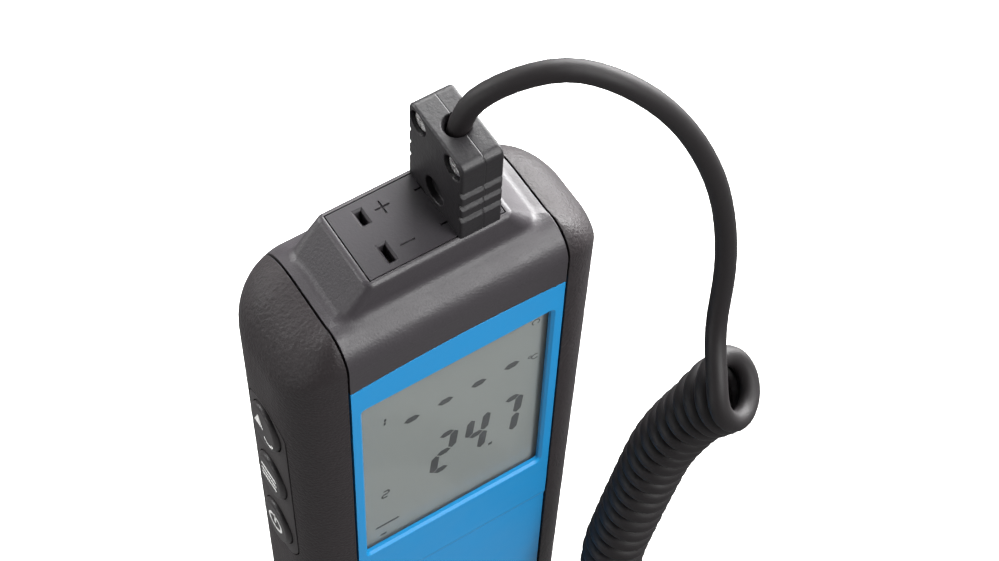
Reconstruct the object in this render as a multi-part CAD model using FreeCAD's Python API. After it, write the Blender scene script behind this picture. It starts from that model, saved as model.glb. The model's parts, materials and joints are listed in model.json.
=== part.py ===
"""Two-input thermocouple thermometer with a plug-in probe on a curly cord.

The instrument stands on its base: X to the right of someone facing the display, Y to the back, Z up.
The origin is on the floor under the middle of the case. Millimetres throughout.
"""
import FreeCAD, Part

import math
import os

from FreeCAD import Vector

# ---- driving dimensions: the case ----
case_height = 154.0        # floor to the flat of the cap
case_half_top = 31.1       # half width at the cap
case_half_base = 29.4      # half width at the base
case_half_depth = 14.3
front_corner = 9.4         # plan radius of the front corners
back_corner = 12.4         # plan radius of the back corners
cap_front = 6.0            # rounding of the cap's edge in front, at the sides and behind
cap_side = 13.0
cap_back = 10.15
base_edge = 4.0            # rounding round the base
grip_wall = 2.0            # rubber grips over the hard core
core_wall = 1.9            # hard core under the grips
front_wall = 3.4           # front wall behind the blue panel
back_wall = 2.2
cap_wall = 3.5
base_wall = 4.0
seam_x = 21.2              # middle of the groove between the centre band and each grip
seam_gap = 0.4
split_y = 6.0              # parting plane of the two case halves
cap_split_drop = 5.5       # the front half carries the whole cap, down to here

# ---- the raised boss that carries the sockets ----
boss_rise = 6.0
boss_top_x = 13.6
boss_top_y = 8.3
boss_foot_x = 20.6
boss_foot_y = 9.3
boss_foot_drop = 2.0
boss_blend = 2.4
boss_rim = 1.1

# ---- socket insert ----
plate_x = 12.6             # half sizes of the visible plate
plate_y = 7.13
plate_thick = 2.0
plate_gap = 0.22
insert_x = 11.4
insert_y = 5.9
insert_depth = 14.0        # plate face to the underside of the insert
socket_x = 7.6             # each socket's middle, left and right
pin_pitch = 7.92           # between the two blades of a miniature connector
pin_thick = 0.8
pin_wide_pos = 2.4
pin_wide_neg = 3.15
pin_reach = 12.0           # blade length below the plug's face
slot_side = 0.2            # slot clearance on each side of a blade
slot_bevel = 0.4
leaf = 0.3                 # contact spring strip
leaf_gap = 0.05            # between a spring leaf and the blade
tail_drop = 6.5
tail_step = 1.4            # the front contact's tail runs this far above the other
tail_half = 0.6
mark_x = 3.75              # polarity marks, from the middle of the plate
mark_size = 2.7
mark_line = 0.35
mark_depth = 0.3

# ---- front panel and display ----
panel_drop = 12.5          # from the cap to the panel's top corners
panel_arch = 1.1           # rise of the panel's top edge at the middle
panel_foot = 14.0
panel_thick = 1.2
panel_corner = 7.0
panel_step = 65.0          # height where the lower field begins
panel_step_depth = 0.3
view_x = 18.9              # half width of the display opening
view_drop = 20.0           # from the cap to the opening's top edge
view_height = 54.5
view_corner = 0.8
view_bevel = 0.5
lens_rim = 1.7             # lens margin hidden behind the panel
lens_thick = 0.6
lens_corner = 1.0
lens_ledge = 0.6           # ledge that the lens's lower edge lies on
glass_gap = 0.2            # air between the lens and the display glass
glass_side = 1.1           # display glass beyond the opening, at each side and below
glass_foot = 4.2
glass_thick = 2.0
fit_gap = 0.15             # loose fit between seated pieces
frame_rim = 0.8
pcb_thick = 1.6
pcb_face = -7.0            # front face of the main board
pcb_half = 20.0
pcb_drop = 13.5            # from the cap to the board's top edge
pcb_screw_x = 17.0
pcb_screw_foot = 6.6       # lower board screws above the board's lower edge
pcb_screw_top = 2.2        # upper board screws below its upper edge
pcb_post_r = 2.0
pcb_screw_r = 0.8
pcb_screw_grip = 2.8       # thread length held in the post
chip_size = 10.0
chip_thick = 1.7
chip_x = -1.0
chip_rise = 37.0           # middle of the chip above the board's lower edge
sounder_r = 6.0
sounder_thick = 5.0
sounder_x = 9.0
sounder_rise = 14.0

# ---- keys on the left flank ----
pad_y = -1.5
pad_half_y = 6.3
pad_drop = 25.6            # from the cap to the pad's top edge
pad_height = 52.3
pad_corner = 5.6
pad_gap = 0.3
key_y = -1.7
key_half_y = 4.5
key_half_z = 5.9
key_drop = 7.1             # top key's middle below the pad's top edge
key_step = 18.15
key_rise = 0.9
key_travel = 0.6
key_cap_depth = 1.25       # from the pad's face to the underside of the flange
flange_thick = 0.6
flange_rim = 0.7
key_gap = 0.2
stem_r = 1.2
board_x = 19.9             # left face of the key board
board_thick = 1.0
board_rim = 7.0            # key board beyond the middles of the outer keys
switch_body = 2.5
switch_half = 3.0
switch_tip = 1.0
switch_tip_r = 1.6

# ---- battery bay ----
door_half = 15.5
door_low = 8.8
door_over = 0.6            # door's upper edge above the underside of the shelf
door_thick = 2.0
door_gap = 0.15
ledge = 1.5                # lip that the door lies on
ledge_thick = 1.3
ledge_rim = 1.8            # thickening round the door, inside the case
nail_half = 6.0
nail_r = 3.0
nail_rise = 1.5
nail_depth = 1.4
door_rib_x = (-9.0, 0.0, 9.0)
door_rib = 1.0
door_rib_depth = 1.2
line_half = 7.0            # grip lines on the door
line_width = 0.9
line_depth = 0.4
line_pitch = 2.2
line_count = 5
line_drop = 7.0
hinge_pin_r = 0.6
hinge_pin_length = 1.4
battery_x = 26.5
battery_y = 17.5
battery_z = 46.4
battery_corner = 2.0
battery_foot = 11.0
battery_front = -7.0
terminal_x = 6.35
terminal_rise = 2.1
terminal_pos_r = 2.85
terminal_neg_r = 3.9
snap_wall = 0.8
snap_lift = 0.4            # the snaps stay clear of the battery's top
cap_thick = 2.1
cap_half = 13.0
shelf_half = 18.5
shelf_thick = 1.5
rib_x = 8.0                # ribs that the battery stands on and lies against
rib_thick = 1.6
rib_back = 3.0

# ---- screws ----
case_screw_x = (17.0, 18.0)
case_screw_drop = 10.6     # upper case screws below the cap
case_screw_low = 6.3
post_r = 2.7
screw_r = 1.2
screw_head_r = 2.2
screw_head_thick = 1.6
screw_sink = 0.5           # heads below the back face
screw_end = -2.0
cross_width = 0.5
cross_depth = 0.9

# ---- plug ----
plug_half_y = 8.0
plug_thick = 7.8
plug_height = 18.9
plug_part = 4.3            # thickness of the cover that holds the screw heads
plug_corner = 1.6
rib_z = (4.8, 8.1, 11.4)   # middles of the grip grooves above the plug's face
rib_width = 1.5
rib_depth = 0.8
plug_screw_y = 5.0
plug_screw_z = 16.2
plug_screw_r = 1.9
plug_recess_r = 2.35
plug_recess = 1.5
dimple_r = 2.7
dimple_z = 3.9
dimple_depth = 1.2
cord_seat = 12.0           # the cord ends this far above the plug's face
pin_root = 6.0             # blade length held inside the plug
pin_bevel = 0.25

# ---- cord ----
cord_d = 3.75
coil_d = 12.5

# ---- probe, lying in front ----
probe_y = -68.0
probe_z = 8.0
boot_start = -26.0
boot_length = 22.0
boot_wall = 0.9
handle_r = 8.0
handle_length = 90.0
handle_waist = 6.8
handle_ring_pitch = 4.0
handle_ring_width = 1.6
handle_ring_depth = 0.9
collar_r = 4.0
collar_length = 9.0
sheath_r = 1.65
sheath_root_r = 1.0        # the swaged root, held in the collar
sheath_root_show = 0.5
sheath_length = 95.0
tip_length = 4.0

# ---- worked out ----
top_z = case_height + boss_rise
panel_top = case_height - panel_drop
view_high = case_height - view_drop
view_low = view_high - view_height
glass_x = view_x + glass_side
glass_low = view_low - glass_foot
lens_x = view_x + lens_rim
lens_low = glass_low - lens_ledge
lens_high = view_high + lens_rim
pad_high = case_height - pad_drop
pad_low = pad_high - pad_height
key_z = tuple(pad_high - key_drop - key_step * row for row in (2, 1, 0))
shelf_low = battery_foot + battery_z + terminal_rise + cap_thick
door_high = shelf_low + door_over
pcb_foot = shelf_low + shelf_thick + 0.9
pcb_top = case_height - pcb_drop
pcb_screw_z = (pcb_foot + pcb_screw_foot, pcb_top - pcb_screw_top)
case_screw_z = (case_height - case_screw_drop, case_screw_low)
band_half = seam_x - seam_gap / 2
grip_half = seam_x + seam_gap / 2
front_y = -case_half_depth
inner_front = front_y + front_wall
inner_back = case_half_depth - back_wall
recess_y = front_y + panel_thick
lens_back = recess_y + lens_thick
glass_face = lens_back + glass_gap
glass_back = glass_face + glass_thick
cap_split = case_height - cap_split_drop
plug_left = socket_x - plug_thick / 2
plug_seam = plug_left + plug_part

# Route of the lead from the plug to the first turn of the curly cord.
lead_points = [
    (socket_x, 0.0, top_z + cord_seat),
    (socket_x, 0.0, 181.5),
    (13.0, -3.0, 189.0),
    (22.0, -8.0, 193.0),
    (30.0, -13.0, 189.0),
    (38.0, -17.0, 179.0),
    (43.0, -21.0, 167.0),
    (46.0, -23.0, 154.0),
    (46.0, -26.0, 141.0),
    (43.0, -29.0, 128.0),
    (42.0, -34.0, 118.0),
]
# Middle line of the curly cord: it hangs beside the case and runs out onto the floor.
coil_points = [
    (44.0, -36.0, 118.0),
    (39.0, -28.0, 97.0),
    (35.0, -26.0, 71.0),
    (29.0, -25.0, 36.0),
    (31.0, -45.0, 6.3),
    (24.0, -65.0, 6.3),
    (2.0, -68.0, 6.3),
]
# Straight tail from the curly cord to the probe's boot.
tail_points = [
    (3.0, -68.0, 2.1),
    (-7.5, -69.5, 2.1),
    (-18.5, -68.5, 7.0),
    (boot_start - 4.0, probe_y, probe_z),
]


def box(x0, x1, y0, y1, z0, z1):
    return Part.makeBox(x1 - x0, y1 - y0, z1 - z0, Vector(x0, y0, z0))


def rod(x, y, z, axis, length, radius):
    return Part.makeCylinder(radius, length, Vector(x, y, z), Vector(*axis))


def arc_edge(cx, cy, z, radius, start, end):
    """Arc about (cx, cy) from one angle to another, in degrees."""
    angles = (start, (start + end) / 2, end)
    points = [Vector(cx + radius * math.cos(math.radians(a)), cy + radius * math.sin(math.radians(a)), z)
              for a in angles]
    return Part.Arc(*points).toShape()


def closed_wire(arcs):
    """Joins arcs, in order, with straight edges."""
    edges = []
    for here, after in zip(arcs, arcs[1:] + arcs[:1]):
        edges.append(here)
        start, end = here.Vertexes[-1].Point, after.Vertexes[0].Point
        if start.distanceToPoint(end) > 1e-6:
            edges.append(Part.LineSegment(start, end).toShape())
    return Part.Wire(edges)


def plan(half_x, y0, y1, r_front, r_back, z):
    """Rounded rectangle in plan, front corners and back corners with their own radii."""
    return closed_wire([
        arc_edge(half_x - r_front, y0 + r_front, z, r_front, -90, 0),
        arc_edge(half_x - r_back, y1 - r_back, z, r_back, 0, 90),
        arc_edge(-half_x + r_back, y1 - r_back, z, r_back, 90, 180),
        arc_edge(-half_x + r_front, y0 + r_front, z, r_front, 180, 270),
    ])


def half_at(z):
    """Half width of the tapered case at a height."""
    return case_half_base + (case_half_top - case_half_base) * z / case_height


def level_edges(shape, z):
    return [e for e in shape.Edges if abs(e.BoundBox.ZMin - z) < 1e-4 and abs(e.BoundBox.ZMax - z) < 1e-4]


def rounded_cap(block, y0, y1, z, inset):
    """Rounds the upper edge: each side has its own radius, blended along the corner arcs."""
    def radius(point):
        if abs(point.y - y0) < 1e-4:
            return cap_front - inset
        if abs(point.y - y1) < 1e-4:
            return cap_back - inset
        return cap_side - inset

    document = FreeCAD.newDocument()
    base = document.addObject("Part::Feature", "block")
    base.Shape = block
    fillet = document.addObject("Part::Fillet", "rounded")
    fillet.Base = base
    edges = []
    for number, edge in enumerate(block.Edges, 1):
        if abs(edge.BoundBox.ZMin - z) < 1e-4 and abs(edge.BoundBox.ZMax - z) < 1e-4:
            edges.append((number, radius(edge.Vertexes[0].Point), radius(edge.Vertexes[-1].Point)))
    fillet.Edges = edges
    document.recompute()
    shape = fillet.Shape.copy()
    FreeCAD.closeDocument(document.Name)
    return shape


def tapered(inset, y0, y1, z0, z1, base_round):
    """Tapered block with rounded corners, set in from the case's outside by `inset`."""
    r_front, r_back = front_corner - inset, back_corner - inset
    low = plan(half_at(z0) - inset, y0, y1, r_front, r_back, z0)
    high = plan(half_at(z1) - inset, y0, y1, r_front, r_back, z1)
    block = rounded_cap(Part.makeLoft([low, high], True, True), y0, y1, z1, inset)
    return block.makeFillet(base_round, level_edges(block, z0))


def rounded_plate(x0, x1, z0, z1, radius, y0, y1):
    """Plate facing Y, with its four corners rounded."""
    plate = box(x0, x1, y0, y1, z0, z1)
    edges = [e for e in plate.Edges if e.BoundBox.YLength > abs(y1 - y0) - 1e-6]
    return plate.makeFillet(radius, edges)


def outer_body():
    """The whole outside of the instrument, boss included."""
    body = tapered(0.0, front_y, case_half_depth, 0.0, case_height, base_edge)
    foot_z = case_height - boss_foot_drop
    boss = Part.makeLoft([
        plan(boss_foot_x, -boss_foot_y, boss_foot_y - 0.3, 3.2, 3.2, foot_z),
        plan(boss_top_x, -boss_top_y, boss_top_y, 1.6, 1.6, top_z),
    ], True, True)
    joined = body.fuse(boss).removeSplitter()
    foot = []
    for edge in joined.Edges:
        b = edge.BoundBox
        near = max(abs(b.XMin), abs(b.XMax)) < boss_foot_x + 0.2 and max(abs(b.YMin), abs(b.YMax)) < 10.5
        if near and b.ZMin > case_height - 1.9 and b.ZMax < case_height + 0.6:
            foot.append(edge)
    joined = joined.makeFillet(boss_blend, foot)
    return joined.makeFillet(boss_rim, level_edges(joined, top_z))


def core_body():
    """Hard core that the grips are moulded over."""
    depth = case_half_depth - grip_wall
    return tapered(grip_wall, -depth, depth, grip_wall, case_height - grip_wall, base_edge - grip_wall)


def cavity():
    inset = grip_wall + core_wall
    side = case_half_depth - inset
    top = case_height - cap_wall
    main = tapered(inset, inner_front, side, base_wall, top, 1.5)
    half = pcb_half - 0.5
    middle = box(-half, half, inner_front, inner_back, base_wall + 4.0, cap_split - 0.5)
    return main.fuse(middle)


def socket_pocket():
    """Opening for the socket insert: a seat for the plate, then a way through for its block."""
    seat_x, seat_y = plate_x + plate_gap, plate_y + plate_gap
    seat = box(-seat_x, seat_x, -seat_y, seat_y, top_z - plate_thick, top_z + 1.0)
    way_x, way_y = insert_x + fit_gap, insert_y + fit_gap
    return seat.fuse(box(-way_x, way_x, -way_y, way_y, case_height - cap_wall - 4.0, top_z))


def panel_outline(inset, y0, y1):
    """The front panel's shape between two depths: arched top edge, rounded lower corners."""
    half = band_half - inset
    low = panel_foot + inset
    high = panel_top - inset
    r = panel_corner
    crown = Vector(0, y0, high + panel_arch)
    edges = [
        Part.Arc(Vector(-half, y0, high), crown, Vector(half, y0, high)).toShape(),
        Part.LineSegment(Vector(half, y0, high), Vector(half, y0, low + r)).toShape(),
        Part.Arc(Vector(half, y0, low + r),
                 Vector(half - r + r * math.sqrt(0.5), y0, low + r - r * math.sqrt(0.5)),
                 Vector(half - r, y0, low)).toShape(),
        Part.LineSegment(Vector(half - r, y0, low), Vector(-half + r, y0, low)).toShape(),
        Part.Arc(Vector(-half + r, y0, low),
                 Vector(-half + r - r * math.sqrt(0.5), y0, low + r - r * math.sqrt(0.5)),
                 Vector(-half, y0, low + r)).toShape(),
        Part.LineSegment(Vector(-half, y0, low + r), Vector(-half, y0, high)).toShape(),
    ]
    return Part.Face(Part.Wire(edges)).extrude(Vector(0, y1 - y0, 0))


def case_screw_places():
    for x, z in zip(case_screw_x, case_screw_z):
        for side in (-1, 1):
            yield side * x, z


def front_shell(outer, core, hollow):
    band = outer.common(box(-band_half, band_half, front_y - 1, case_half_depth + 1, -1, top_z + 1))
    shell = band.fuse(core)
    shell = shell.cut(hollow)
    behind = box(-40, 40, split_y, case_half_depth + 1, -1, cap_split)
    shell = shell.cut(behind)
    shell = shell.cut(socket_pocket())
    # seat of the blue panel, then the lens pocket and the display opening behind it
    shell = shell.cut(panel_outline(-fit_gap, front_y - 1, recess_y))
    shell = shell.cut(rounded_plate(-lens_x, lens_x, lens_low, lens_high, lens_corner, recess_y - 1, lens_back))
    shell = shell.cut(box(-glass_x - fit_gap, glass_x + fit_gap, lens_back - 1, inner_front + 1,
                          glass_low - fit_gap, view_high + fit_gap))
    # posts for the case screws and for the main board
    for x, z in case_screw_places():
        post = rod(x, inner_front - 1, z, (0, 1, 0), split_y - inner_front + 1, post_r)
        shell = shell.fuse(post)
        shell = shell.cut(rod(x, screw_end - 1, z, (0, 1, 0), split_y - screw_end + 2, screw_r + 0.02))
    for z in pcb_screw_z:
        for side in (-1, 1):
            x = side * pcb_screw_x
            shell = shell.fuse(rod(x, inner_front - 1, z, (0, 1, 0), pcb_face - inner_front + 1, pcb_post_r))
            hole = pcb_screw_grip + 0.4
            shell = shell.cut(rod(x, pcb_face - hole, z, (0, 1, 0), hole + 1, pcb_screw_r + 0.02))
    # shelf over the battery, and the ribs that it lies against and stands on
    shell = shell.fuse(box(-shelf_half, shelf_half, inner_front - 1, split_y - 0.5,
                           shelf_low, shelf_low + shelf_thick))
    for side in (-1, 1):
        x0, x1 = side * rib_x - rib_thick / 2, side * rib_x + rib_thick / 2
        shell = shell.fuse(box(x0, x1, inner_front - 1, battery_front, base_wall - 1, shelf_low + 0.5))
        shell = shell.fuse(box(x0, x1, inner_front - 1, rib_back, base_wall - 1, battery_foot))
    # way through the flank for the key stems
    for z in key_z:
        shell = shell.cut(rod(flank_x(z) - 1, key_y, z, (1, 0, 0), 8.0, stem_r + 0.4))
    return shell


def rear_shell(outer, core, hollow):
    band = outer.common(box(-band_half, band_half, front_y - 1, case_half_depth + 1, -1, top_z + 1))
    shell = band.fuse(core)
    shell = shell.common(box(-40, 40, split_y, case_half_depth + 1, -1, cap_split))
    shell = shell.cut(hollow)
    gap = door_gap
    seat = case_half_depth - door_thick
    frame_half = door_half + ledge_rim
    shell = shell.fuse(box(-frame_half, frame_half, seat - ledge_thick, seat,
                           door_low - ledge_rim, door_high + ledge_rim))
    bay = door_half - ledge
    shell = shell.cut(box(-bay, bay, split_y, case_half_depth + 1, door_low + ledge, door_high - ledge))
    shell = shell.cut(box(-door_half - gap, door_half + gap, seat, case_half_depth + 1,
                          door_low - gap, door_high + gap))
    pivot_y, pivot_z = hinge_line()
    reach = door_half + gap + hinge_pin_length
    shell = shell.cut(rod(-reach, pivot_y, pivot_z, (1, 0, 0), 2 * reach, hinge_pin_r + 0.1))
    # nail recess above the door
    shell = shell.cut(nail_recess())
    for x, z in case_screw_places():
        post = rod(x, split_y, z, (0, 1, 0), inner_back - split_y + 1, post_r)
        shell = shell.fuse(post.common(outer))
        head_y = case_half_depth - screw_head_thick - screw_sink
        shell = shell.cut(rod(x, head_y, z, (0, 1, 0), 4.0, screw_head_r + 0.2))
        shell = shell.cut(rod(x, split_y - 1, z, (0, 1, 0), 10.0, screw_r + 0.15))
    return shell


def nail_recess():
    """Round hollow across the door's upper edge."""
    y = case_half_depth + nail_r - nail_depth
    return rod(-nail_half, y, door_high + nail_rise, (1, 0, 0), 2 * nail_half, nail_r)


def grip(side, outer, core):
    reach = 40.0
    if side < 0:
        half = box(-reach, -grip_half, -reach, reach, -1, top_z)
    else:
        half = box(grip_half, reach, -reach, reach, -1, top_z)
    skin = outer.common(half).cut(core)
    if side < 0:
        skin = skin.cut(pad_prism(0.0))
    return skin


def pad_prism(inset):
    """Outline of the key pad, pushed through the left flank."""
    y0, y1 = pad_y - pad_half_y + inset, pad_y + pad_half_y - inset
    z0, z1 = pad_low + inset, pad_high - inset
    prism = box(-35.0, -24.0, y0, y1, z0, z1)
    edges = [e for e in prism.Edges if e.BoundBox.XLength > 10]
    return prism.makeFillet(pad_corner - inset, edges)


def key_outline(z, grow, x0, x1):
    """Upright oval, half sizes `key_half_y` and `key_half_z`, between two depths of the flank."""
    half_y, half_z = key_half_y + grow, key_half_z + grow
    ellipse = Part.Ellipse(Vector(x0, key_y, z + half_z), Vector(x0, key_y + half_y, z), Vector(x0, key_y, z))
    return Part.Face(Part.Wire([ellipse.toShape()])).extrude(Vector(x1 - x0, 0, 0))


def flank_x(z):
    return -half_at(z)


def key_pad(outer, core):
    pad = outer.common(pad_prism(pad_gap)).cut(core)
    for z in key_z:
        face = flank_x(z)
        pad = pad.cut(key_outline(z, key_gap, face - 3.0, face + 4.0))
        ceiling = face + key_cap_depth - flange_thick
        pad = pad.cut(key_outline(z, flange_rim + key_gap, ceiling, face + 4.0))
    return pad


def key(z):
    """Oval cap, domed, with a trapped flange and a stem that reaches its switch."""
    face = flank_x(z)
    base = face + key_cap_depth
    cap = key_outline(z, 0.0, face - key_rise, base)
    crown = [e for e in cap.Edges if e.BoundBox.XMax < face - key_rise + 0.01]
    cap = cap.makeFillet(0.8, crown)
    cap = cap.fuse(key_outline(z, flange_rim, base - flange_thick, base))
    tip = -board_x - switch_body - switch_tip - key_travel - 0.1
    return cap.fuse(rod(base - 0.2, key_y, z, (1, 0, 0), tip - base + 0.2, stem_r))


def key_switch(z):
    half = switch_half
    body = box(-board_x - switch_body, -board_x, key_y - half, key_y + half, z - half, z + half)
    body = body.makeFillet(0.4, [e for e in body.Edges if e.BoundBox.XLength > switch_body - 0.1])
    tip_root = -board_x - switch_body + 0.1
    return body.fuse(rod(tip_root, key_y, z, (-1, 0, 0), switch_tip + 0.1, switch_tip_r))


def key_board():
    """Narrow board on edge, standing on the main board."""
    return box(-board_x, -board_x + board_thick, pcb_face + pcb_thick, key_y + switch_half + 2.8,
               key_z[0] - board_rim, key_z[-1] + board_rim - 1.0)


def front_panel():
    panel = panel_outline(0.05, front_y, recess_y)
    opening = rounded_plate(-view_x, view_x, view_low, view_high, view_corner, front_y - 1, recess_y + 1)
    panel = panel.cut(opening)
    bevel = [e for e in panel.Edges if abs(e.BoundBox.YMax - front_y) < 1e-4
             and max(abs(e.BoundBox.XMin), abs(e.BoundBox.XMax)) < view_x + 0.1
             and e.BoundBox.ZMin > view_low - 0.1 and e.BoundBox.ZMax < view_high + 0.1]
    panel = panel.makeChamfer(view_bevel, bevel)
    # the lower field lies a little deeper, behind a short ramp
    ramp = 1.2
    points = [(front_y - 1, -1), (front_y - 1, panel_step), (front_y, panel_step),
              (front_y + panel_step_depth, panel_step - ramp), (front_y + panel_step_depth, -1)]
    wire = Part.makePolygon([Vector(-30, y, z) for y, z in points + points[:1]])
    return panel.cut(Part.Face(wire).extrude(Vector(60, 0, 0)))


def display_lens():
    half = lens_x - fit_gap
    return rounded_plate(-half, half, lens_low + fit_gap, lens_high - fit_gap, lens_corner, recess_y, lens_back)


def display_glass():
    return box(-glass_x, glass_x, glass_face, glass_back, glass_low, view_high)


def display_frame():
    half = glass_x + frame_rim
    frame = box(-half, half, inner_front, pcb_face, glass_low - frame_rim, view_high + frame_rim)
    seat = box(-glass_x - fit_gap, glass_x + fit_gap, inner_front - 1, glass_back,
               glass_low - fit_gap, view_high + fit_gap)
    return frame.cut(seat)


def main_board():
    board = box(-pcb_half, pcb_half, pcb_face, pcb_face + pcb_thick, pcb_foot, pcb_top)
    for z in pcb_screw_z:
        for side in (-1, 1):
            board = board.cut(rod(side * pcb_screw_x, pcb_face - 1, z, (0, 1, 0), 5.0, pcb_screw_r + 0.15))
    return board


def board_screw(x, z):
    seat = pcb_face + pcb_thick
    head = rod(x, seat, z, (0, 1, 0), 1.0, 1.5)
    head = head.cut(rod(x, seat + 0.5, z, (0, 1, 0), 1.0, 0.6))
    length = pcb_thick + pcb_screw_grip
    return head.fuse(rod(x, seat - length, z, (0, 1, 0), length + 0.1, pcb_screw_r))


def case_screw(x, z):
    head_y = case_half_depth - screw_head_thick - screw_sink
    head = rod(x, head_y, z, (0, 1, 0), screw_head_thick, screw_head_r)
    floor_y = head_y + screw_head_thick - cross_depth
    arm = screw_head_r * 1.3
    for a, b in ((arm, cross_width), (cross_width, arm)):
        head = head.cut(box(x - a / 2, x + a / 2, floor_y, floor_y + 2.0, z - b / 2, z + b / 2))
    return head.fuse(rod(x, screw_end, z, (0, 1, 0), head_y - screw_end + 0.1, screw_r))


def pin_places(x):
    """The two blades of one connector: name, place, width."""
    return (("pos", x, pin_pitch / 2, pin_wide_pos), ("neg", x, -pin_pitch / 2, pin_wide_neg))


def socket_insert():
    foot = top_z - insert_depth
    block = box(-insert_x, insert_x, -insert_y, insert_y, foot, top_z - plate_thick)
    block = block.fuse(box(-plate_x, plate_x, -plate_y, plate_y, top_z - plate_thick, top_z))
    pocket_top = top_z - 3.2
    for side in (-1, 1):
        for _, x, y, width in pin_places(side * socket_x):
            half_x = pin_thick / 2 + slot_side
            half_y = width / 2 + slot_side
            block = block.cut(box(x - half_x, x + half_x, y - half_y, y + half_y, foot - 1, top_z + 1))
            wide_x = pin_thick / 2 + leaf_gap + leaf
            block = block.cut(box(x - wide_x, x + wide_x, y - half_y, y + half_y, foot - 1, pocket_top))
            low = Part.makePlane(2 * half_x, 2 * half_y, Vector(x - half_x, y - half_y, top_z - slot_bevel))
            grown = slot_bevel
            high = Part.makePlane(2 * (half_x + grown), 2 * (half_y + grown),
                                  Vector(x - half_x - grown, y - half_y - grown, top_z))
            block = block.cut(Part.makeLoft([low.OuterWire, high.OuterWire], True, True))
        # polarity marks, engraved beside each socket
        x = side * mark_x
        for _, _, y, _ in pin_places(x):
            block = block.cut(box(x - mark_size / 2, x + mark_size / 2, y - mark_line / 2, y + mark_line / 2,
                                  top_z - mark_depth, top_z + 1))
        y = pin_pitch / 2
        block = block.cut(box(x - mark_line / 2, x + mark_line / 2, y - mark_size / 2, y + mark_size / 2,
                              top_z - mark_depth, top_z + 1))
    return block


def socket_contact(x, y, width):
    """Two spring leaves round the blade, joined below, with a tail bent onto the main board."""
    inner = pin_thick / 2 + leaf_gap
    low = top_z - insert_depth + 0.4
    high = top_z - 3.6
    half_y = width / 2
    contact = box(x - inner - leaf, x + inner + leaf, y - half_y, y + half_y, low, high)
    contact = contact.cut(box(x - inner, x + inner, y - half_y - 1, y + half_y + 1, low + leaf, high + 1))
    foot = top_z - insert_depth - tail_drop
    if y < 0:
        foot += tail_step
    contact = contact.fuse(box(x - tail_half, x + tail_half, y - leaf, y, foot, low + leaf))
    board = pcb_face + pcb_thick
    return contact.fuse(box(x - tail_half, x + tail_half, board, y, foot, foot + leaf))


def hinge_line():
    """The door turns about a line in the middle of its thickness, at its lower edge."""
    return case_half_depth - door_thick / 2, door_low + door_thick / 2


def battery_door():
    back = case_half_depth
    pivot_y, pivot_z = hinge_line()
    door = box(-door_half, door_half, back - door_thick, back, pivot_z, door_high)
    door = door.fuse(rod(-door_half, pivot_y, pivot_z, (1, 0, 0), 2 * door_half, door_thick / 2))
    corner = [e for e in door.Edges if e.BoundBox.YLength > door_thick - 0.01
              and abs(e.BoundBox.ZMax - door_high) < 1e-4 and e.BoundBox.XLength < 1e-4]
    door = door.makeFillet(0.1, corner)
    for side in (-1, 1):
        start = side * door_half
        door = door.fuse(rod(start, pivot_y, pivot_z, (side, 0, 0), hinge_pin_length, hinge_pin_r))
    # stiffening ribs inside, nail notch and grip lines outside
    inside = back - door_thick
    for x in door_rib_x:
        door = door.fuse(box(x - door_rib / 2, x + door_rib / 2, inside - door_rib_depth, inside + 0.1,
                             door_low + ledge + 4.0, door_high - ledge - 2.0))
    door = door.cut(nail_recess())
    for row in range(line_count):
        z = door_high - line_drop - line_pitch * row
        door = door.cut(box(-line_half, line_half, back - line_depth, back + 1,
                            z - line_width / 2, z + line_width / 2))
    return door


def battery():
    x, y0, z0 = battery_x / 2, battery_front, battery_foot
    body = box(-x, x, y0, y0 + battery_y, z0, z0 + battery_z)
    body = body.makeFillet(battery_corner, [e for e in body.Edges if e.BoundBox.ZLength > battery_z - 1])
    top = z0 + battery_z
    middle = y0 + battery_y / 2
    rise = terminal_rise + 0.1
    body = body.fuse(rod(-terminal_x, middle, top - 0.1, (0, 0, 1), rise, terminal_pos_r))
    return body.fuse(rod(terminal_x, middle, top - 0.1, (0, 0, 1), rise, terminal_neg_r))


def battery_cap():
    """Snap holder that sits on the terminals and hangs under the shelf."""
    middle = battery_front + battery_y / 2
    low = battery_foot + battery_z + terminal_rise
    return box(-cap_half, cap_half, battery_front + 1.0, middle + 5.5, low, low + cap_thick)


def battery_snap(x, inner):
    """Ring that grips a terminal, under the snap holder."""
    middle = battery_front + battery_y / 2
    top = battery_foot + battery_z
    ring = rod(x, middle, top + snap_lift, (0, 0, 1), terminal_rise - snap_lift, inner + snap_wall)
    return ring.cut(rod(x, middle, top, (0, 0, 1), terminal_rise + 1, inner))


def plug_blank():
    """Outside of the plug: rounded top corners and three grip grooves down each narrow side."""
    h, w = plug_height, plug_half_y
    blank = box(plug_left, plug_left + plug_thick, -w, w, top_z, top_z + h)
    top_edges = [e for e in blank.Edges if e.BoundBox.XLength > plug_thick - 0.1 and e.BoundBox.ZMin > top_z + 1]
    blank = blank.makeFillet(plug_corner, top_edges)
    upright = [e for e in blank.Edges if e.BoundBox.ZLength > 5 and e.BoundBox.YLength < 1e-3]
    blank = blank.makeFillet(0.5, upright)
    for rise in rib_z:
        z = top_z + rise
        for side in (-1, 1):
            edge = side * w
            inner = side * (w - rib_depth)
            points = [Vector(0, edge + side, z + rib_width * 0.8), Vector(0, inner, z + rib_width * 0.55),
                      Vector(0, inner, z + rib_width * 0.25), Vector(0, edge + side, z - rib_width * 1.35)]
            groove = Part.Face(Part.makePolygon(points + points[:1])).extrude(Vector(plug_thick + 4, 0, 0))
            groove.translate(Vector(plug_left - 2, 0, 0))
            blank = blank.cut(groove)
    return blank


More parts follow.
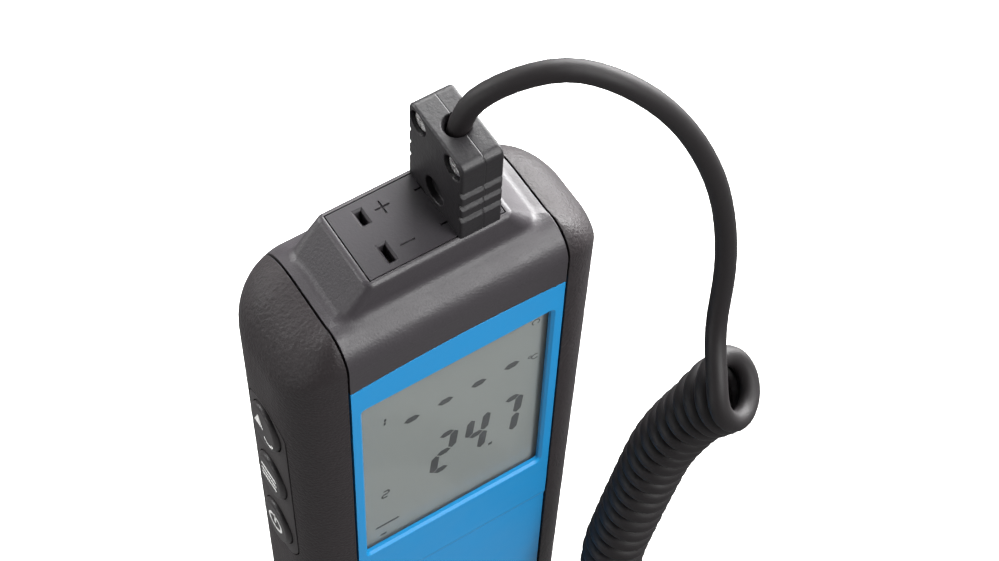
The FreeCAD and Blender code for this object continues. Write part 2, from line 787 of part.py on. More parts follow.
def plug_bores():
    """Room inside the plug for the cord and the two blades."""
    bore = rod(socket_x, 0, top_z + cord_seat, (0, 0, 1), 20.0, cord_d / 2 + 0.05)
    mouth = Part.makeCone(cord_d / 2, cord_d / 2 + 0.6, 1.0, Vector(socket_x, 0, top_z + plug_height - 0.99))
    bore = bore.fuse(mouth)
    for _, x, y, width in pin_places(socket_x):
        bore = bore.fuse(box(x - pin_thick / 2, x + pin_thick / 2, y - width / 2, y + width / 2,
                             top_z - 1, top_z + pin_root))
    return bore


def plug_screw_places():
    for side in (-1, 1):
        yield side * plug_screw_y, top_z + plug_screw_z


def plug_cover():
    cover = plug_blank().common(box(plug_left - 1, plug_seam, -20, 20, top_z - 1, top_z + 40)).cut(plug_bores())
    for y, z in plug_screw_places():
        cover = cover.cut(rod(plug_left - 1, y, z, (1, 0, 0), plug_recess + 1, plug_recess_r))
        cover = cover.cut(rod(plug_left - 1, y, z, (1, 0, 0), 12.0, 0.8))
    return cover.cut(rod(plug_left - 1, 0, top_z + dimple_z, (1, 0, 0), dimple_depth + 1, dimple_r))


def plug_base():
    base = plug_blank().common(box(plug_seam, plug_left + plug_thick + 1, -20, 20, top_z - 1, top_z + 40))
    base = base.cut(plug_bores())
    for y, z in plug_screw_places():
        base = base.cut(rod(plug_seam - 1, y, z, (1, 0, 0), 3.2, 0.77))
    return base


def plug_screw(y, z):
    """Pan head in its recess, with a cross slot, and a shank into the base."""
    seat = plug_left + plug_recess
    head = rod(seat - 1.0, y, z, (1, 0, 0), 1.0, plug_screw_r)
    rim = [e for e in head.Edges if abs(e.BoundBox.XMax - (seat - 1.0)) < 1e-4]
    head = head.makeFillet(0.45, rim)
    arm = plug_screw_r * 1.3
    for a, b in ((arm, 0.45), (0.45, arm)):
        head = head.cut(box(seat - 2.0, seat - 0.4, y - a / 2, y + a / 2, z - b / 2, z + b / 2))
    return head.fuse(rod(seat - 0.1, y, z, (1, 0, 0), plug_seam - seat + 2.0, 0.75))


def plug_pin(x, y, width):
    blade = box(x - pin_thick / 2, x + pin_thick / 2, y - width / 2, y + width / 2,
                top_z - pin_reach, top_z + pin_root)
    tip = [e for e in blade.Edges if abs(e.BoundBox.ZMax - (top_z - pin_reach)) < 1e-4]
    return blade.makeChamfer(pin_bevel, tip)


def tube(points, diameter, name):
    """Round tube along straight runs joined by tangent arcs, as large as the runs allow."""
    path = [Vector(*p) for p in points]
    edges = []
    radii = []
    start = path[0]
    for before, here, after in zip(path, path[1:], path[2:]):
        into, out = here - before, after - here
        turn = into.getAngle(out)
        reach = 0.45 * min(into.Length, out.Length)
        radii.append(reach / math.tan(turn / 2))
        into.normalize()
        out.normalize()
        first, last = here - into * reach, here + out * reach
        middle_way = (out - into).normalize()
        middle = here + middle_way * (radii[-1] / math.cos(turn / 2) - radii[-1])
        edges.append(Part.LineSegment(start, first).toShape())
        edges.append(Part.Arc(first, middle, last).toShape())
        start = last
    edges.append(Part.LineSegment(start, path[-1]).toShape())
    wire = Part.Wire(edges)
    heading = path[1] - path[0]
    section = Part.Wire([Part.Circle(path[0], heading, diameter / 2).toShape()])
    solid = wire.makePipeShell([section], True, True)
    expected = math.pi * diameter ** 2 / 4 * wire.Length
    print(name, "radii", [round(r, 1) for r in radii], "length", round(wire.Length, 1),
          "volume ratio", round(solid.Volume / expected, 4))
    return solid


def probe_boot():
    """Tapered strain relief between the tail and the handle, with three ring grooves."""
    x = boot_start
    boot = Part.makeCone(cord_d / 2 + boot_wall, handle_waist - 1.6, boot_length, Vector(x, probe_y, probe_z),
                         Vector(-1, 0, 0))
    for i in range(3):
        at = x - 5.0 - 4.5 * i
        ring = rod(at, probe_y, probe_z, (-1, 0, 0), 1.4, handle_r)
        radius = cord_d / 2 + 1.5 + 0.7 * i
        boot = boot.cut(ring.cut(rod(at + 1, probe_y, probe_z, (-1, 0, 0), 4, radius)))
    return boot.cut(rod(x + 1, probe_y, probe_z, (-1, 0, 0), 5.0, cord_d / 2))


def revolve_along_x(profile):
    """Turned body about the probe's axis from (x, radius) points."""
    points = [Vector(x, probe_y, probe_z + r) for x, r in profile]
    ends = [Vector(profile[-1][0], probe_y, probe_z), Vector(profile[0][0], probe_y, probe_z)]
    wire = Part.makePolygon(points + ends + points[:1])
    return Part.Face(wire).revolve(Vector(0, probe_y, probe_z), Vector(1, 0, 0), 360)


def probe_handle():
    x0 = boot_start - boot_length
    x1 = x0 - handle_length
    profile = [(x0, handle_waist), (x0 - 6, handle_r - 0.3), (x0 - 12, handle_r), (x0 - 40, handle_r - 0.6),
               (x1 + 22, handle_r - 0.2), (x1 + 16, handle_r), (x1 + 10, handle_r - 0.2), (x1, handle_waist - 1.0)]
    handle = revolve_along_x(profile)
    for i in range(6):
        at = x1 + 20.0 + handle_ring_pitch * i
        ring = rod(at, probe_y, probe_z, (1, 0, 0), handle_ring_width, handle_r + 2)
        groove_floor = rod(at - 1, probe_y, probe_z, (1, 0, 0), 4, handle_r - handle_ring_depth)
        handle = handle.cut(ring.cut(groove_floor))
    return handle


def probe_collar():
    x1 = boot_start - boot_length - handle_length
    r = collar_r
    return revolve_along_x([(x1, r + 0.6), (x1 - 2, r + 0.6), (x1 - 2.6, r), (x1 - collar_length + 3, r),
                            (x1 - collar_length, sheath_r + 0.4)]).cut(
        rod(x1 - collar_length - 1, probe_y, probe_z, (1, 0, 0), collar_length + 2, sheath_root_r))


def probe_sheath():
    x1 = boot_start - boot_length - handle_length
    root_end = x1 - collar_length - sheath_root_show
    far = x1 - collar_length - sheath_length
    r = sheath_r
    return revolve_along_x([(x1, sheath_root_r), (root_end, sheath_root_r), (root_end, r), (far + tip_length, r),
                            (far + 0.8, r * 0.45), (far, 0.2)])


def chip():
    seat = pcb_face + pcb_thick
    half = chip_size / 2
    z = pcb_foot + chip_rise
    return box(chip_x - half, chip_x + half, seat, seat + chip_thick, z - half, z + half)


def sounder():
    seat = pcb_face + pcb_thick
    z = pcb_foot + sounder_rise
    can = rod(sounder_x, seat, z, (0, 1, 0), sounder_thick, sounder_r)
    return can.cut(rod(sounder_x, seat + sounder_thick - 1.0, z, (0, 1, 0), 2.0, 1.0))


def build():
    outer, core, hollow = outer_body(), core_body(), cavity()
    nodes = {
        "front_shell": front_shell(outer, core, hollow),
        "rear_shell": rear_shell(outer, core, hollow),
        "grip_left": grip(-1, outer, core),
        "grip_right": grip(1, outer, core),
        "front_panel": front_panel(),
        "display_lens": display_lens(),
        "display_glass": display_glass(),
        "display_frame": display_frame(),
        "main_board": main_board(),
        "main_chip": chip(),
        "sounder": sounder(),
        "key_board": key_board(),
        "key_pad": key_pad(outer, core),
        "socket_insert": socket_insert(),
        "battery_door": battery_door(),
        "battery": battery(),
        "battery_cap": battery_cap(),
        "battery_snap_pos": battery_snap(-terminal_x, terminal_pos_r),
        "battery_snap_neg": battery_snap(terminal_x, terminal_neg_r),
        "plug_cover": plug_cover(),
        "plug_base": plug_base(),
        "lead_cord": tube(lead_points, cord_d, "lead"),
        "curly_cord": tube(coil_points, coil_d, "curly cord"),
        "tail_cord": tube(tail_points, cord_d, "tail"),
        "probe_boot": probe_boot(),
        "probe_handle": probe_handle(),
        "probe_collar": probe_collar(),
        "probe_sheath": probe_sheath(),
    }
    for number, z in enumerate(key_z, 1):
        nodes[f"key_{number}"] = key(z)
        nodes[f"key_switch_{number}"] = key_switch(z)
    for number, (side, z) in enumerate(((s, z) for z in pcb_screw_z for s in (-1, 1)), 1):
        nodes[f"board_screw_{number}"] = board_screw(side * pcb_screw_x, z)
    for number, (x, z) in enumerate(case_screw_places(), 1):
        nodes[f"case_screw_{number}"] = case_screw(x, z)
    for socket, side in (("left", -1), ("right", 1)):
        for pole, x, y, width in pin_places(side * socket_x):
            nodes[f"contact_{socket}_{pole}"] = socket_contact(x, y, width)
    for pole, x, y, width in pin_places(socket_x):
        nodes[f"plug_pin_{pole}"] = plug_pin(x, y, width)
    for number, (y, z) in enumerate(plug_screw_places(), 1):
        nodes[f"plug_screw_{number}"] = plug_screw(y, z)
    return nodes


os.makedirs("parts", exist_ok=True)
for name, shape in build().items():
    if len(shape.Solids) != 1 or not shape.isValid():
        print("CHECK", name, "solids", len(shape.Solids), "valid", shape.isValid())
    shape.exportStep(f"parts/{name}.step")
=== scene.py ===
"""Looks of a two-input thermocouple thermometer with a plug-in probe on a curly cord.

Metres, unless a comment says millimetres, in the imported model's own frame: X to the right of someone
facing the display, Y to the back, Z up, with the instrument standing on the floor at the origin.
"""
import json
import math

import bmesh
import bpy
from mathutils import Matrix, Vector


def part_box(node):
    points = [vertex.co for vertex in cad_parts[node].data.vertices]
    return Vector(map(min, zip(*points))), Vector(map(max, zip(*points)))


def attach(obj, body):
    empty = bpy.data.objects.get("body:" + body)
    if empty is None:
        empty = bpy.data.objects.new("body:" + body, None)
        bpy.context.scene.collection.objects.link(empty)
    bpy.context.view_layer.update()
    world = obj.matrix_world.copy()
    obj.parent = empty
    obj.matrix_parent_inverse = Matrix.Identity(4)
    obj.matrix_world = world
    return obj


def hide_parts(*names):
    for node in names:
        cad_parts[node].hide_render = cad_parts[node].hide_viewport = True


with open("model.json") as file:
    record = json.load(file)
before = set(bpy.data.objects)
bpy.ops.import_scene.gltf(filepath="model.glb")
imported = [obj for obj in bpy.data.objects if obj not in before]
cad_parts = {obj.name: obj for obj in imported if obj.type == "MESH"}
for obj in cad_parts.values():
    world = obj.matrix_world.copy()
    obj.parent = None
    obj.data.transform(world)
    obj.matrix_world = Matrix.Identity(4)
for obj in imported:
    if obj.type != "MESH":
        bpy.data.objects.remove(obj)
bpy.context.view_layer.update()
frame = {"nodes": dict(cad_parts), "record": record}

MM = 0.001
NODES = frame["nodes"]

# ---- camera: above, in front and to the left of the instrument ----
CAMERA_PLACE = Vector((-0.10709, -0.17604, 0.46536))
CAMERA_TURN = (32.364, -1.703, -32.589)
CAMERA_LENS = 82.27
SENSOR_WIDTH = 36.0
NEAREST_SEEN = 0.01

# ---- cord: the route's points, in millimetres, along the CAD tubes; the tail has more of them ----
CORD_D = 3.85 * MM
COIL_R = 4.38 * MM             # from the coil's axis to the middle of the wire
FIRST_TURN_R = 6.4 * MM        # the first turns stand a little open
OPEN_TURNS = 3.5               # over which they close up
END_POINTS = 11                # of the last turn, so that it ends on the floor
TURN_POINTS = 14
TURN_PITCH = 3.86 * MM         # close wound
FIRST_AXIS = Vector((-0.5, 0.7, -0.5))        # of the first turn
FIRST_SIDE = Vector((-0.73, -0.05, 0.68))     # where that turn starts, seen from its middle

LEAD_ROUTE = [
    (7.6, 0.0, 172.0),
    (7.6, 0.0, 181.5),
    (13.0, -3.0, 189.0),
    (22.0, -8.0, 193.0),
    (30.0, -13.0, 189.0),
    (38.0, -17.0, 179.0),
    (43.0, -21.0, 167.0),
    (46.0, -23.0, 154.0),
    (46.0, -26.0, 141.0),
    (43.0, -29.0, 128.0),
]
COIL_ROUTE = [
    (44.0, -36.0, 118.0),
    (39.0, -28.0, 97.0),
    (35.0, -26.0, 71.0),
    (29.0, -25.0, 36.0),
    (31.0, -45.0, 6.3),
    (24.0, -65.0, 6.3),
    (2.0, -68.0, 6.3),
]
TAIL_ROUTE = [
    (0.0, -64.5, 2.1),
    (-5.0, -63.0, 2.5),
    (-12.5, -65.0, 4.5),
    (-20.5, -67.5, 7.0),
    (-30.0, -68.0, 8.0),
]


def in_metres(route):
    return [Vector(p) * MM for p in route]


def add_camera():
    data = bpy.data.cameras.new("camera")
    data.lens = CAMERA_LENS
    data.sensor_width = SENSOR_WIDTH
    data.clip_start = NEAREST_SEEN
    camera = bpy.data.objects.new("camera", data)
    camera.location = CAMERA_PLACE
    camera.rotation_euler = [math.radians(a) for a in CAMERA_TURN]
    bpy.context.scene.collection.objects.link(camera)
    bpy.context.scene.camera = camera


def nurbs(name, points):
    """Smooth open curve with these control points."""
    data = bpy.data.curves.new(name, "CURVE")
    data.dimensions = "3D"
    spline = data.splines.new("NURBS")
    spline.points.add(len(points) - 1)
    for slot, point in zip(spline.points, points):
        slot.co = (*point, 1.0)
    spline.order_u = 3
    spline.use_endpoint_u = True
    curve = bpy.data.objects.new(name, data)
    bpy.context.scene.collection.objects.link(curve)
    return curve


def line_of(route, name):
    """Close points along the smooth curve of a route, read from the curve itself."""
    curve = nurbs(name, route)
    curve.data.resolution_u = 24
    mesh = bpy.data.meshes.new_from_object(curve)
    line = [v.co.copy() for v in mesh.vertices]
    bpy.data.objects.remove(curve)
    bpy.data.meshes.remove(mesh)
    return line


def along(line, distance):
    """Place and heading at a distance along a line of points, or past its end."""
    for here, after in zip(line, line[1:]):
        step = (after - here).length
        if distance <= step or after is line[-1]:
            return here.lerp(after, distance / step), (after - here).normalized()
        distance -= step


def coil_turns(line):
    """Control points of the left-handed turns, close wound round the coil's middle line."""
    total = sum((b - a).length for a, b in zip(line, line[1:]))
    reach = 1.0 / math.cos(math.pi / TURN_POINTS)    # the curve cuts inside its control points
    first_axis = FIRST_AXIS.normalized()
    side = FIRST_SIDE.copy()
    points = []
    count = round(total / TURN_PITCH - 0.5) * TURN_POINTS + END_POINTS
    for step in range(count + 1):
        distance = step * TURN_PITCH / TURN_POINTS
        centre, heading = along(line, distance)
        open_part = max(0.0, 1.0 - distance / (OPEN_TURNS * TURN_PITCH))
        axis = heading.lerp(first_axis, open_part).normalized()
        side = (side - axis * side.dot(axis)).normalized()
        radius = (COIL_R + (FIRST_TURN_R - COIL_R) * open_part) * reach
        angle = 2 * math.pi * step / TURN_POINTS
        points.append(centre + radius * (side * math.cos(angle) - axis.cross(side) * math.sin(angle)))
    return points


def add_cord():
    turns = coil_turns(line_of(in_metres(COIL_ROUTE), "coil_middle"))
    cord = nurbs("cord", in_metres(LEAD_ROUTE) + turns + in_metres(TAIL_ROUTE))
    # the points carry the radius, because the curve's box is measured with it
    for point in cord.data.splines[0].points:
        point.radius = CORD_D / 2
    cord.data.bevel_depth = 1.0
    cord.data.bevel_resolution = 6
    cord.data.resolution_u = 4
    cord.data.use_fill_caps = True
    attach(cord, "probe_lead")
    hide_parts("lead_cord", "curly_cord", "tail_cord")
    return cord


# ---- materials ----
EDGE_SAMPLES = 6
BROAD_MOTTLE = 140.0           # noise scales, per metre
TOOL_MARKS = 1500.0
DISPLAY_SPECK = 6000.0


class Look:
    """A material being built: its node tree, with the shader at hand."""

    def __init__(self, name):
        self.material = bpy.data.materials.new(name)
        self.material.use_nodes = True
        self.nodes = self.material.node_tree.nodes
        self.links = self.material.node_tree.links
        self.shader = self.nodes["Principled BSDF"]
        self.place = self.nodes.new("ShaderNodeTexCoord").outputs["Object"]

    def set(self, **values):
        for name, value in values.items():
            self.shader.inputs[name.replace("_", " ")].default_value = value

    def noise(self, scale, detail=3.0, roughness=0.55, stretch=None):
        place = self.place
        if stretch:
            mapping = self.nodes.new("ShaderNodeMapping")
            mapping.inputs["Scale"].default_value = stretch
            self.links.new(place, mapping.inputs["Vector"])
            place = mapping.outputs["Vector"]
        node = self.nodes.new("ShaderNodeTexNoise")
        node.inputs["Scale"].default_value = scale
        node.inputs["Detail"].default_value = detail
        node.inputs["Roughness"].default_value = roughness
        self.links.new(place, node.inputs["Vector"])
        return node.outputs["Fac"]

    def ramp(self, source, low, high, out_low, out_high):
        node = self.nodes.new("ShaderNodeMapRange")
        node.inputs["From Min"].default_value = low
        node.inputs["From Max"].default_value = high
        node.inputs["To Min"].default_value = out_low
        node.inputs["To Max"].default_value = out_high
        self.links.new(source, node.inputs["Value"])
        return node.outputs["Result"]

    def mix(self, factor, first, second):
        node = self.nodes.new("ShaderNodeMix")
        node.data_type = "RGBA"
        self.links.new(factor, node.inputs["Factor"])
        sockets = [s for s in node.inputs if s.type == "RGBA"]
        for socket, value in zip(sockets, (first, second)):
            if isinstance(value, bpy.types.NodeSocket):
                self.links.new(value, socket)
            else:
                socket.default_value = (*value, 1.0)
        return [s for s in node.outputs if s.type == "RGBA"][0]

    def base(self, source):
        self.links.new(source, self.shader.inputs["Base Color"])

    def rough(self, source):
        self.links.new(source, self.shader.inputs["Roughness"])

    def relief(self, source, distance, strength=1.0, edge=0.0):
        """Bump from a height, over edges softened to a radius."""
        bump = self.nodes.new("ShaderNodeBump")
        bump.inputs["Strength"].default_value = strength
        bump.inputs["Distance"].default_value = distance
        self.links.new(source, bump.inputs["Height"])
        if edge:
            bevel = self.nodes.new("ShaderNodeBevel")
            bevel.samples = EDGE_SAMPLES
            bevel.inputs["Radius"].default_value = edge
            self.links.new(bevel.outputs["Normal"], bump.inputs["Normal"])
        self.links.new(bump.outputs["Normal"], self.shader.inputs["Normal"])


def shade(colour, factor):
    return tuple(min(1.0, c * factor) for c in colour)


def moulded(name, colour, roughness, grain=2200.0, depth=0.00002, mottle=0.12, specular=0.5, edge=0.0002):
    """Moulded plastic or rubber: fine grain, faint mottling, and roughness that wanders a little."""
    look = Look(name)
    fine = look.noise(grain, 2.0)
    broad = look.noise(BROAD_MOTTLE, 4.0)
    look.base(look.mix(broad, shade(colour, 1 - mottle), shade(colour, 1 + mottle)))
    look.rough(look.ramp(broad, 0.3, 0.7, roughness - 0.04, roughness + 0.04))
    look.relief(fine, depth, 1.0, edge)
    look.set(Specular_IOR_Level=specular)
    return look.material


def metal(name, colour, roughness, stretch=None, edge=0.0001):
    """Metal with fine drawn or turned marks."""
    look = Look(name)
    marks = look.noise(TOOL_MARKS, 3.0, stretch=stretch)
    look.base(look.mix(marks, shade(colour, 0.88), shade(colour, 1.08)))
    look.rough(look.ramp(marks, 0.3, 0.7, roughness * 0.8, roughness * 1.25))
    look.relief(marks, 0.000004, 0.6, edge)
    look.set(Metallic=1.0)
    return look.material


def clear_lens():
    """Window: mostly see-through; the high index keeps a window's gloss at that low alpha."""
    look = Look("lens")
    haze = look.noise(60.0, 2.0)
    look.rough(look.ramp(haze, 0.3, 0.7, 0.03, 0.08))
    look.set(Base_Color=(0.3, 0.32, 0.31, 1.0), Alpha=0.1, IOR=3.0)
    return look.material


def liquid_crystal():
    """Grey-green reflector of the display."""
    look = Look("liquid_crystal")
    speck = look.noise(DISPLAY_SPECK, 2.0)
    cloud = look.mix(look.noise(30.0, 2.0), (0.30, 0.325, 0.315), (0.33, 0.355, 0.34))
    look.base(look.mix(look.ramp(speck, 0.35, 0.65, 0.0, 0.25), cloud, (0.27, 0.29, 0.28)))
    look.rough(look.ramp(speck, 0.3, 0.7, 0.42, 0.55))
    look.relief(speck, 0.000003, 0.5)
    look.set(Specular_IOR_Level=0.3)
    return look.material


def laminate():
    """Green circuit board with faint copper tracks under the mask."""
    look = Look("laminate")
    tracks = look.nodes.new("ShaderNodeTexVoronoi")
    tracks.feature = "DISTANCE_TO_EDGE"
    tracks.inputs["Scale"].default_value = 260.0
    look.links.new(look.place, tracks.inputs["Vector"])
    lines = look.ramp(tracks.outputs["Distance"], 0.04, 0.08, 1.0, 0.0)
    look.base(look.mix(lines, (0.012, 0.10, 0.04), (0.03, 0.2, 0.08)))
    look.relief(lines, 0.00003, 0.6)
    look.set(Roughness=0.35)
    return look.material


# ---- finishes of the record's material slots ----
MOULDED = {
    "case_plastic": dict(colour=(0.036, 0.0315, 0.036), roughness=0.45, grain=2400.0, depth=0.00005,
                         mottle=0.1, specular=0.55),
    "grip_rubber": dict(colour=(0.022, 0.0175, 0.019), roughness=0.56, grain=1500.0, depth=0.00022,
                        mottle=0.3, specular=0.35),
    "pad_rubber": dict(colour=(0.042, 0.038, 0.039), roughness=0.55, grain=2600.0, mottle=0.1, specular=0.3),
    "key_rubber": dict(colour=(0.034, 0.031, 0.032), roughness=0.45, grain=2600.0, mottle=0.1, specular=0.4),
    "panel_blue": dict(colour=(0.008, 0.283, 0.64), roughness=0.4, grain=1700.0, depth=0.00001,
                       mottle=0.03, specular=0.45, edge=0.0001),
    "frame_white": dict(colour=(0.7, 0.7, 0.68), roughness=0.5),
    "chip_black": dict(colour=(0.02, 0.02, 0.02), roughness=0.5),
    "switch_black": dict(colour=(0.03, 0.03, 0.03), roughness=0.45),
    "socket_plastic": dict(colour=(0.035, 0.032, 0.036), roughness=0.48, grain=1800.0, mottle=0.06,
                           specular=0.25, edge=0.0001),
    "battery_jacket": dict(colour=(0.02, 0.02, 0.025), roughness=0.3),
    "snap_plastic": dict(colour=(0.02, 0.02, 0.02), roughness=0.5),
    "plug_plastic": dict(colour=(0.010, 0.0088, 0.0105), roughness=0.46, grain=1300.0, depth=0.00005,
                         mottle=0.2, edge=0.00035),
    "cord_jacket": dict(colour=(0.0105, 0.0085, 0.0093), roughness=0.58, grain=1400.0, depth=0.000025,
                        specular=0.38, edge=0.0),
    "boot_rubber": dict(colour=(0.016, 0.015, 0.015), roughness=0.58),
    "handle_plastic": dict(colour=(0.02, 0.019, 0.02), roughness=0.5, grain=1800.0, depth=0.00003,
                           specular=0.45, edge=0.0004),
}
METAL = {
    "contact_metal": dict(colour=(0.72, 0.68, 0.6), roughness=0.3),
    "steel_screw": dict(colour=(0.62, 0.62, 0.6), roughness=0.35),
    "snap_metal": dict(colour=(0.7, 0.68, 0.64), roughness=0.25),
    "plug_metal": dict(colour=(0.95, 0.94, 0.93), roughness=0.3),
    "pin_metal": dict(colour=(0.72, 0.68, 0.6), roughness=0.28, stretch=(1.0, 1.0, 0.08)),
    "collar_metal": dict(colour=(0.74, 0.73, 0.71), roughness=0.22, stretch=(1.0, 0.1, 0.1)),
    "sheath_steel": dict(colour=(0.66, 0.65, 0.63), roughness=0.3, stretch=(0.05, 1.0, 1.0)),
}
SPECIAL = {"lens_clear": clear_lens, "display_glass": liquid_crystal, "board": laminate}


def look_for(slot):
    """The material of one of the record's slots."""
    if slot in MOULDED:
        return moulded(slot, **MOULDED[slot])
    if slot in METAL:
        return metal(slot, **METAL[slot])
    return SPECIAL[slot]()


def dress_nodes():
    """Gives every CAD node the finish of its material slot."""
    made = {}
    for entry in frame["record"]["subparts"]:
        slot = entry["material_slot"]
        if slot not in made:
            made[slot] = look_for(slot)
        mesh = NODES[entry["node"]].data
        mesh.materials.clear()
        mesh.materials.append(made[slot])
    return made


# ---- what the display shows: x, z and sizes in millimetres ----
LCD_INK = (0.055, 0.056, 0.062)
INK_DEPTH = 0.04 * MM
DIGIT_HEIGHT = 14.0
DIGIT_WIDTH = 5.0
STROKE = 1.65
SLANT = 0.1
READING = (("2", -4.7), ("4", 2.2), ("7", 9.2))
READING_FOOT = 93.0
POINT_CORNERS = ((8.2, 92.9), (9.0, 92.9), (9.1, 93.7), (8.3, 93.7))
DASH_START, DASH_STEP, DASH_LENGTH, DASH_STROKE = -9.8, 6.86, 3.2, 1.7
DASH_HEIGHT = 118.5
INPUT_NUMBERS = (("1", -15.2, 121.2), ("2", -14.8, 94.5))
NUMBER_SIZE = (1.7, 2.7, 0.42)     # width, height, stroke
UNIT_RINGS = (
    # x, z, radius, stroke, first and last angle
    (16.2, 117.9, 0.35, 0.18, 0, 360),
    (17.3, 117.3, 0.7, 0.22, 45, 315),
    (16.9, 129.3, 0.75, 0.22, -60, 240),
)
UNDERLINES = ((-16.2, 84.0, 5.2), (-15.2, 80.4, 1.5))
UNDERLINE_STROKE = 0.6
SEGMENTS = {"1": "bc", "2": "abdeg", "4": "bcfg", "7": "abc"}
SEGMENT_GAP = 0.12                 # of the stroke


def bar(x0, z0, x1, z1, stroke):
    """Outline of a segment with pointed ends, between two points."""
    start, end = Vector((x0, z0)), Vector((x1, z1))
    along_bar = (end - start).normalized()
    across = Vector((-along_bar.y, along_bar.x)) * stroke / 2
    point = along_bar * stroke / 2
    upper = [start + point + across, end - point + across]
    lower = [end - point - across, start + point - across]
    return [start, *upper, end, *lower]


def digit(figure, x, z, width, height, stroke):
    """Outlines of a seven-segment figure, leaning right as displays do."""
    left, right = x + stroke / 2, x + width - stroke / 2
    low, middle, high = z + stroke / 2, z + height / 2, z + height - stroke / 2
    gap = stroke * SEGMENT_GAP
    ends = {
        "a": (left + gap, high, right - gap, high),
        "b": (right, middle + gap, right, high - gap),
        "c": (right, low + gap, right, middle - gap),
        "d": (left + gap, low, right - gap, low),
        "e": (left, low + gap, left, middle - gap),
        "f": (left, middle + gap, left, high - gap),
        "g": (left + gap, middle, right - gap, middle),
    }
    outlines = [bar(*ends[s], stroke) for s in SEGMENTS[figure]]
    return [[Vector((p.x + SLANT * (p.y - z), p.y)) for p in outline] for outline in outlines]


def raised_marks(name, outlines, place, body, material):
    """Thin marks from flat outlines: place(point, front) gives each corner's place, deep or in front."""
    mesh = bmesh.new()
    for outline in outlines:
        deep = [mesh.verts.new(place(point, False)) for point in outline]
        front = [mesh.verts.new(place(point, True)) for point in outline]
        mesh.faces.new(front)
        mesh.faces.new(deep[::-1])
        for i in range(len(outline)):
            j = (i + 1) % len(outline)
            mesh.faces.new((deep[i], deep[j], front[j], front[i]))
    bmesh.ops.recalc_face_normals(mesh, faces=mesh.faces)
    data = bpy.data.meshes.new(name)
    mesh.to_mesh(data)
    mesh.free()
    data.materials.append(material)
    piece = bpy.data.objects.new(name, data)
    bpy.context.scene.collection.objects.link(piece)
    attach(piece, body)


def ring_marks(x, z, radius, stroke, start=0.0, end=360.0, steps=20):
    """Short quads round a circle, as outlines."""
    outlines = []
    for i in range(steps):
        a, b = (math.radians(start + (end - start) * t / steps) for t in (i, i + 1))
        inner, outer = radius - stroke / 2, radius + stroke / 2
        outlines.append([Vector((x + r * math.cos(t), z + r * math.sin(t)))
                         for r, t in ((inner, a), (outer, a), (outer, b), (inner, b))])
    return outlines


def add_display():
    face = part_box("display_glass")[0].y
    ink = moulded("display_ink", LCD_INK, 0.5, grain=2000.0, depth=0.000002, mottle=0.15,
                  specular=0.2, edge=0.0)
    figures = []
    for figure, x in READING:
        figures += digit(figure, x, READING_FOOT, DIGIT_WIDTH, DIGIT_HEIGHT, STROKE)
    figures.append([Vector(corner) for corner in POINT_CORNERS])
    for i in range(4):
        x = DASH_START + DASH_STEP * i
        figures.append(bar(x, DASH_HEIGHT, x + DASH_LENGTH, DASH_HEIGHT, DASH_STROKE))
    marks = []
    for figure, x, z in INPUT_NUMBERS:
        marks += digit(figure, x, z, *NUMBER_SIZE)
    for ring in UNIT_RINGS:
        marks += ring_marks(*ring)
    for x, z, length in UNDERLINES:
        marks.append(bar(x, z, x + length, z, UNDERLINE_STROKE))

    def place(point, front):
        return point[0] * MM, face + (-INK_DEPTH if front else INK_DEPTH), point[1] * MM

    raised_marks("display_figures", figures, place, "case", ink)
    raised_marks("display_marks", marks, place, "case", ink)


# ---- symbols on the keys: shapes in millimetres from the key's middle, before PRINT_SCALE ----
KEY_PRINT = (0.9, 0.9, 0.88)
KEY_BODIES = {"key_1": "lower_key", "key_2": "middle_key", "key_3": "top_key"}
PRINT_DEPTH = 0.25 * MM
PRINT_LIFT = 0.03 * MM
PRINT_SCALE = 1.35


def add_key_symbols():
    white = moulded("key_print", KEY_PRINT, 0.5, grain=2500.0, depth=0.00001, mottle=0.1,
                    specular=0.3, edge=0.0)
    triangle = [Vector(p) for p in ((-0.2, -0.4), (2.0, -0.4), (0.9, 2.2))]
    symbols = {
        "key_3": [triangle] + ring_marks(-1.3, -1.2, 1.1, 0.4, 180, 330, 10),
        "key_2": [bar(-2.0, z, 2.0, z, 0.6) for z in (1.2, 0.0, -1.2)],
        "key_1": ring_marks(0.0, 0.0, 1.6, 0.45) + [bar(0.0, -0.2, 0.0, 2.2, 0.45)],
    }
    for key, outlines in symbols.items():
        low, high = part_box(key)
        middle = (low + high) / 2

        def place(point, front):
            x = low.x - PRINT_LIFT if front else low.x + PRINT_DEPTH
            return x, middle.y + point[0] * PRINT_SCALE * MM, middle.z + point[1] * PRINT_SCALE * MM

        raised_marks(f"{key}_symbol", outlines, place, KEY_BODIES[key], white)


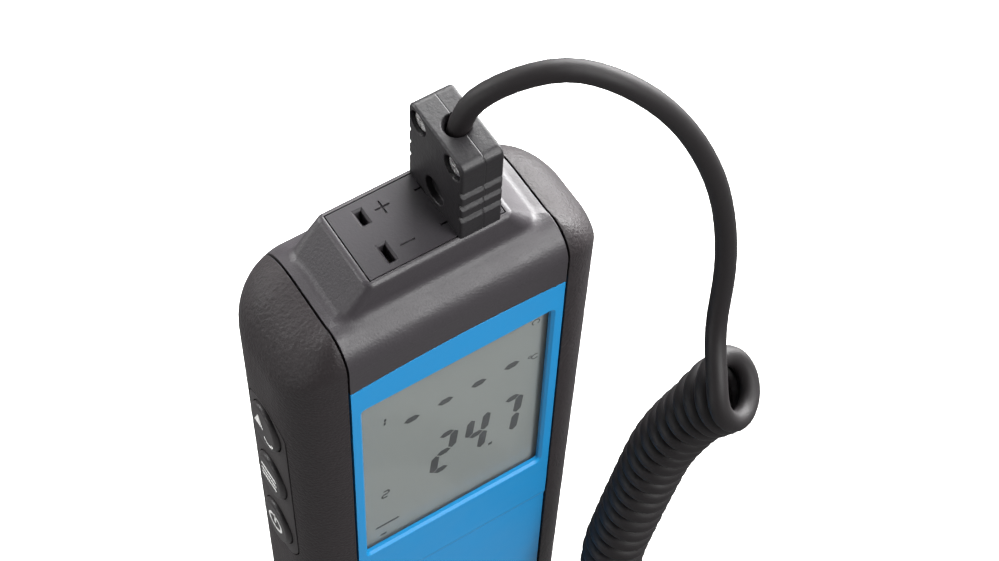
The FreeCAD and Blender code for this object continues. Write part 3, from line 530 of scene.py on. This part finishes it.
# ---- stage ----
FLOOR_GLOW = 0.36              # light from below the horizon, in place of the floor's
ROOM_GLOW = 0.1                # and from above it
FLOOR_SIZE = 8.0
FLOOR_DROP = 0.0002            # keeps it clear of what stands on it
FLOOR_NEAR, FLOOR_FAR = 0.4, 1.1    # between these distances its own glow rises
NEAR_GLOW, FAR_GLOW = 0.55, 1.0
LIGHTS = (
    # name, place, target, size, power
    ("key", (0.30, 0.75, 0.95), (0.0, 0.0, 0.1), 0.7, 5.0),
    ("front", (0.45, -1.0, 0.75), (0.0, 0.0, 0.15), 0.5, 11.0),
    ("high", (0.25, -0.4, 1.0), (0.0, 0.0, 0.12), 0.4, 6.5),
    ("right", (1.0, 0.2, 0.35), (0.0, 0.0, 0.1), 0.6, 21.0),
    ("right_back", (0.75, 0.65, 0.6), (0.0, 0.0, 0.1), 0.9, 30.0),
    ("left_back", (-0.6, 0.8, 0.5), (0.0, 0.0, 0.1), 0.6, 8.5),
    ("left", (-1.0, 0.0, 0.2), (0.0, 0.0, 0.1), 0.5, 2.5),
)


def add_stage():
    """Pale floor with a painted glow that rises away from the object; it lights nothing itself."""
    bpy.ops.mesh.primitive_plane_add(size=FLOOR_SIZE)
    floor = bpy.context.object
    floor.name = "floor"
    look = Look("floor")
    cloud = look.noise(3.0, 2.0)
    look.base(look.mix(cloud, (0.9, 0.9, 0.9), (0.93, 0.93, 0.93)))
    look.set(Roughness=0.9, Specular_IOR_Level=0.1, Emission_Color=(1.0, 1.0, 1.0, 1.0))
    distance = look.nodes.new("ShaderNodeVectorMath")
    distance.operation = "LENGTH"
    look.links.new(look.place, distance.inputs[0])
    # painted glow: the emission rises with distance, so the floor shows white where the lamps fall off
    glow = look.ramp(distance.outputs["Value"], FLOOR_NEAR, FLOOR_FAR, NEAR_GLOW, FAR_GLOW)
    look.links.new(glow, look.shader.inputs["Emission Strength"])
    floor.data.materials.append(look.material)
    floor.location.z = -FLOOR_DROP
    floor.visible_diffuse = False
    floor.visible_glossy = False


def area_light(name, place, target, size, power):
    data = bpy.data.lights.new(name, "AREA")
    data.shape = "DISK"
    data.size = size
    data.energy = power
    light = bpy.data.objects.new(name, data)
    light.location = place
    light.rotation_euler = (Vector(target) - Vector(place)).to_track_quat("-Z", "Y").to_euler()
    light.visible_camera = False
    bpy.context.scene.collection.objects.link(light)


def add_lights():
    """Soft lights all round, strongest from the right and the back; the room is white to look at."""
    scene = bpy.context.scene
    scene.world = bpy.data.worlds.new("studio")
    scene.world.use_nodes = True
    nodes, links = scene.world.node_tree.nodes, scene.world.node_tree.links
    heading = nodes.new("ShaderNodeTexCoord")
    split = nodes.new("ShaderNodeSeparateXYZ")
    links.new(heading.outputs["Generated"], split.inputs["Vector"])
    below = nodes.new("ShaderNodeMath")
    below.operation = "LESS_THAN"
    below.inputs[1].default_value = 0.0
    links.new(split.outputs["Z"], below.inputs[0])
    glow = nodes.new("ShaderNodeMapRange")
    glow.inputs["To Min"].default_value = ROOM_GLOW
    glow.inputs["To Max"].default_value = FLOOR_GLOW
    links.new(below.outputs[0], glow.inputs["Value"])
    seen = nodes.new("ShaderNodeLightPath")
    backdrop = nodes.new("ShaderNodeMath")
    backdrop.operation = "MAXIMUM"
    links.new(glow.outputs["Result"], backdrop.inputs[0])
    links.new(seen.outputs["Is Camera Ray"], backdrop.inputs[1])
    links.new(backdrop.outputs[0], nodes["Background"].inputs["Color"])
    scene.view_settings.view_transform = "Standard"
    for light in LIGHTS:
        area_light(*light)


add_camera()
cord = add_cord()
made = dress_nodes()
cord.data.materials.append(made["cord_jacket"])
add_display()
add_key_symbols()
add_stage()
add_lights()

bpy.context.view_layer.update()
